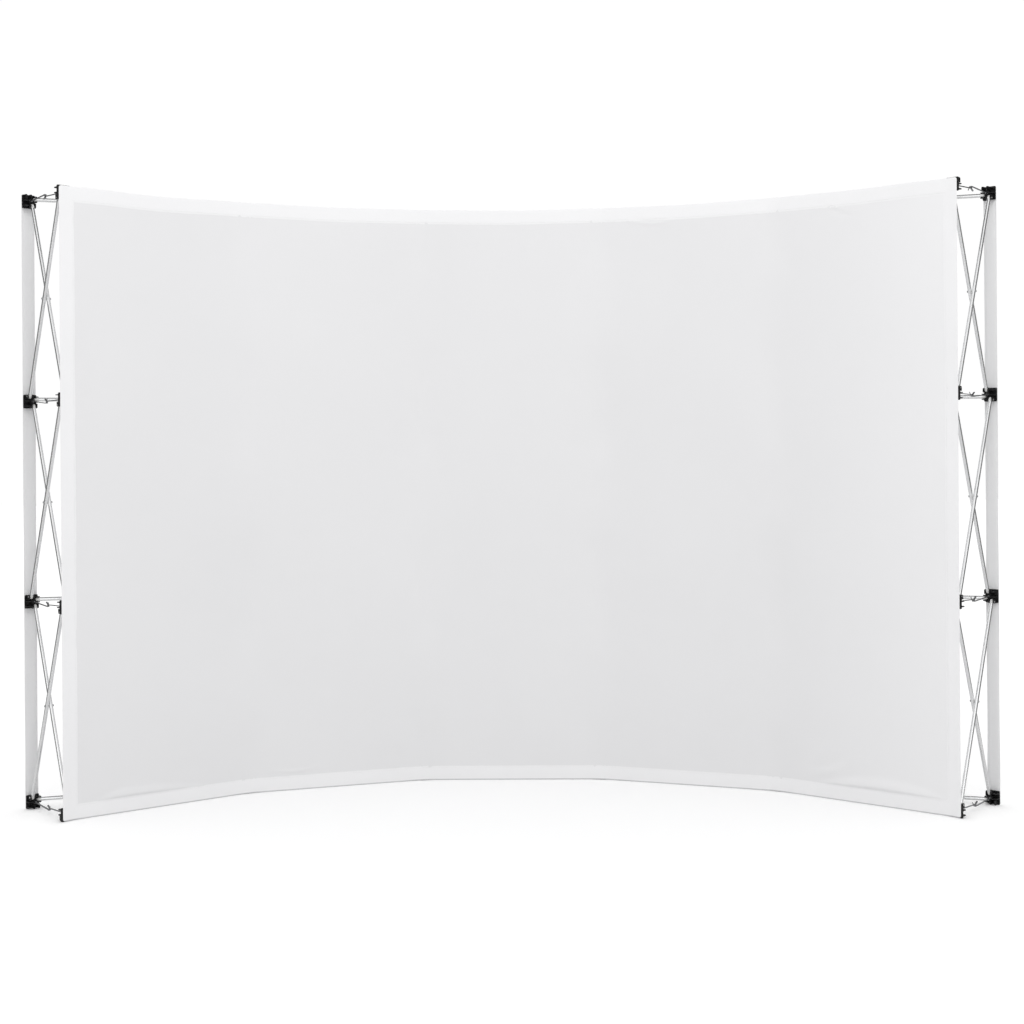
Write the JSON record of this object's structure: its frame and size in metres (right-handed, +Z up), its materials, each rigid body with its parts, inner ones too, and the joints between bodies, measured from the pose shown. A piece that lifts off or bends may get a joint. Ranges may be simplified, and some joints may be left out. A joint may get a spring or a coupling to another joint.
{
  "type": "pop-up display backwall",
  "caption": "Curved folding scissor frame of tubes and hubs with hook locks, covered in front by a stretched fabric panel.",
  "frame": {"origin": "on the floor, under the middle of the object's bounding box", "axes": "+X to the viewer's right along the wall, +Y away from the viewer (the fabric front faces -Y), +Z up"},
  "size_m": [3.5886, 0.9144, 2.27],
  "materials": {
    "hub_plastic": "moulded black nylon, satin",
    "tube_aluminium": "satin anodised",
    "tip_plastic": "moulded, light grey",
    "pin_steel": "bright zinc plated",
    "rivet_steel": "zinc plated",
    "link_steel": "zinc plated spring strip",
    "hook_tape": "hook side of hook-and-loop tape",
    "panel_fabric": "matt knitted polyester, stretched",
    "hem_fabric": "the same polyester, folded double and stitched",
    "band_fabric": "matt knitted polyester"
  },
  "bodies": {
    "frame": {"front_hubs_1": "hub_plastic", "front_hubs_2": "hub_plastic", "front_hubs_3": "hub_plastic", "front_hubs_4": "hub_plastic", "front_hubs_5": "hub_plastic", "front_hubs_6": "hub_plastic", "rear_hubs_1": "hub_plastic", "rear_hubs_2": "hub_plastic", "rear_hubs_3": "hub_plastic", "rear_hubs_4": "hub_plastic", "rear_hubs_5": "hub_plastic", "rear_hubs_6": "hub_plastic", "column_tubes_1": "tube_aluminium", "column_tubes_2": "tube_aluminium", "column_tubes_3": "tube_aluminium", "column_tubes_4": "tube_aluminium", "column_tubes_5": "tube_aluminium", "column_tubes_6": "tube_aluminium", "level_tubes_1": "tube_aluminium", "level_tubes_2": "tube_aluminium", "level_tubes_3": "tube_aluminium", "level_tubes_4": "tube_aluminium", "column_tube_tips": "tip_plastic", "level_tube_tips": "tip_plastic", "column_pins": "pin_steel", "level_pins": "pin_steel", "column_rivets": "rivet_steel", "level_rivets": "rivet_steel", "crossing_washers": "tip_plastic", "lock_pins": "pin_steel", "inner_front_links": "link_steel", "inner_rear_links": "link_steel", "front_hook_tape": "hook_tape", "rear_hook_tape": "hook_tape"},
    "panel": {"front_panel": "panel_fabric", "panel_hem": "hem_fabric"},
    "left_band": {"left_rear_band": "band_fabric"},
    "right_band": {"right_rear_band": "band_fabric"},
    "left_front_link_1": {"left_front_link_1": "link_steel"},
    "left_rear_link_1": {"left_rear_link_1": "link_steel"},
    "left_front_link_2": {"left_front_link_2": "link_steel"},
    "left_rear_link_2": {"left_rear_link_2": "link_steel"},
    "left_front_link_3": {"left_front_link_3": "link_steel"},
    "left_rear_link_3": {"left_rear_link_3": "link_steel"},
    "left_front_link_4": {"left_front_link_4": "link_steel"},
    "left_rear_link_4": {"left_rear_link_4": "link_steel"},
    "right_front_link_1": {"right_front_link_1": "link_steel"},
    "right_rear_link_1": {"right_rear_link_1": "link_steel"},
    "right_front_link_2": {"right_front_link_2": "link_steel"},
    "right_rear_link_2": {"right_rear_link_2": "link_steel"},
    "right_front_link_3": {"right_front_link_3": "link_steel"},
    "right_rear_link_3": {"right_rear_link_3": "link_steel"},
    "right_front_link_4": {"right_front_link_4": "link_steel"},
    "right_rear_link_4": {"right_rear_link_4": "link_steel"}
  },
  "joints": [
    {"name": "panel_lift_off", "type": "slide", "parent": "frame", "child": "panel", "axis": [0, -1, 0], "range_m": [0, 0.3]},
    {"name": "left_band_lift_off", "type": "slide", "parent": "frame", "child": "left_band", "axis": [-0.7009, 0.7133, 0], "range_m": [0, 0.2]},
    {"name": "right_band_lift_off", "type": "slide", "parent": "frame", "child": "right_band", "axis": [0.7009, 0.7133, 0], "range_m": [0, 0.2]},
    {"name": "left_front_unhook_1", "type": "hinge", "parent": "frame", "child": "left_front_link_1", "pos_m": [-1.59967, -0.4201, 0.025], "axis": [0.7133, 0.7009, 0], "range_deg": [0, 60]},
    {"name": "left_rear_unhook_1", "type": "hinge", "parent": "frame", "child": "left_rear_link_1", "pos_m": [-1.75528, -0.26175, 0.025], "axis": [0.7133, 0.7009, 0], "range_deg": [0, 60]},
    {"name": "left_front_unhook_2", "type": "hinge", "parent": "frame", "child": "left_front_link_2", "pos_m": [-1.59967, -0.4201, 0.765], "axis": [0.7133, 0.7009, 0], "range_deg": [0, 60]},
    {"name": "left_rear_unhook_2", "type": "hinge", "parent": "frame", "child": "left_rear_link_2", "pos_m": [-1.75528, -0.26175, 0.765], "axis": [0.7133, 0.7009, 0], "range_deg": [0, 60]},
    {"name": "left_front_unhook_3", "type": "hinge", "parent": "frame", "child": "left_front_link_3", "pos_m": [-1.59967, -0.4201, 1.505], "axis": [0.7133, 0.7009, 0], "range_deg": [0, 60]},
    {"name": "left_rear_unhook_3", "type": "hinge", "parent": "frame", "child": "left_rear_link_3", "pos_m": [-1.75528, -0.26175, 1.505], "axis": [0.7133, 0.7009, 0], "range_deg": [0, 60]},
    {"name": "left_front_unhook_4", "type": "hinge", "parent": "frame", "child": "left_front_link_4", "pos_m": [-1.59967, -0.4201, 2.245], "axis": [-0.7133, -0.7009, 0], "range_deg": [0, 60]},
    {"name": "left_rear_unhook_4", "type": "hinge", "parent": "frame", "child": "left_rear_link_4", "pos_m": [-1.75528, -0.26175, 2.245], "axis": [-0.7133, -0.7009, 0], "range_deg": [0, 60]},
    {"name": "right_front_unhook_1", "type": "hinge", "parent": "frame", "child": "right_front_link_1", "pos_m": [1.59967, -0.4201, 0.025], "axis": [0.7133, -0.7009, 0], "range_deg": [0, 60]},
    {"name": "right_rear_unhook_1", "type": "hinge", "parent": "frame", "child": "right_rear_link_1", "pos_m": [1.75528, -0.26175, 0.025], "axis": [0.7133, -0.7009, 0], "range_deg": [0, 60]},
    {"name": "right_front_unhook_2", "type": "hinge", "parent": "frame", "child": "right_front_link_2", "pos_m": [1.59967, -0.4201, 0.765], "axis": [0.7133, -0.7009, 0], "range_deg": [0, 60]},
    {"name": "right_rear_unhook_2", "type": "hinge", "parent": "frame", "child": "right_rear_link_2", "pos_m": [1.75528, -0.26175, 0.765], "axis": [0.7133, -0.7009, 0], "range_deg": [0, 60]},
    {"name": "right_front_unhook_3", "type": "hinge", "parent": "frame", "child": "right_front_link_3", "pos_m": [1.59967, -0.4201, 1.505], "axis": [0.7133, -0.7009, 0], "range_deg": [0, 60]},
    {"name": "right_rear_unhook_3", "type": "hinge", "parent": "frame", "child": "right_rear_link_3", "pos_m": [1.75528, -0.26175, 1.505], "axis": [0.7133, -0.7009, 0], "range_deg": [0, 60]},
    {"name": "right_front_unhook_4", "type": "hinge", "parent": "frame", "child": "right_front_link_4", "pos_m": [1.59967, -0.4201, 2.245], "axis": [-0.7133, 0.7009, 0], "range_deg": [0, 60]},
    {"name": "right_rear_unhook_4", "type": "hinge", "parent": "frame", "child": "right_rear_link_4", "pos_m": [1.75528, -0.26175, 2.245], "axis": [-0.7133, 0.7009, 0], "range_deg": [0, 60]}
  ]
}
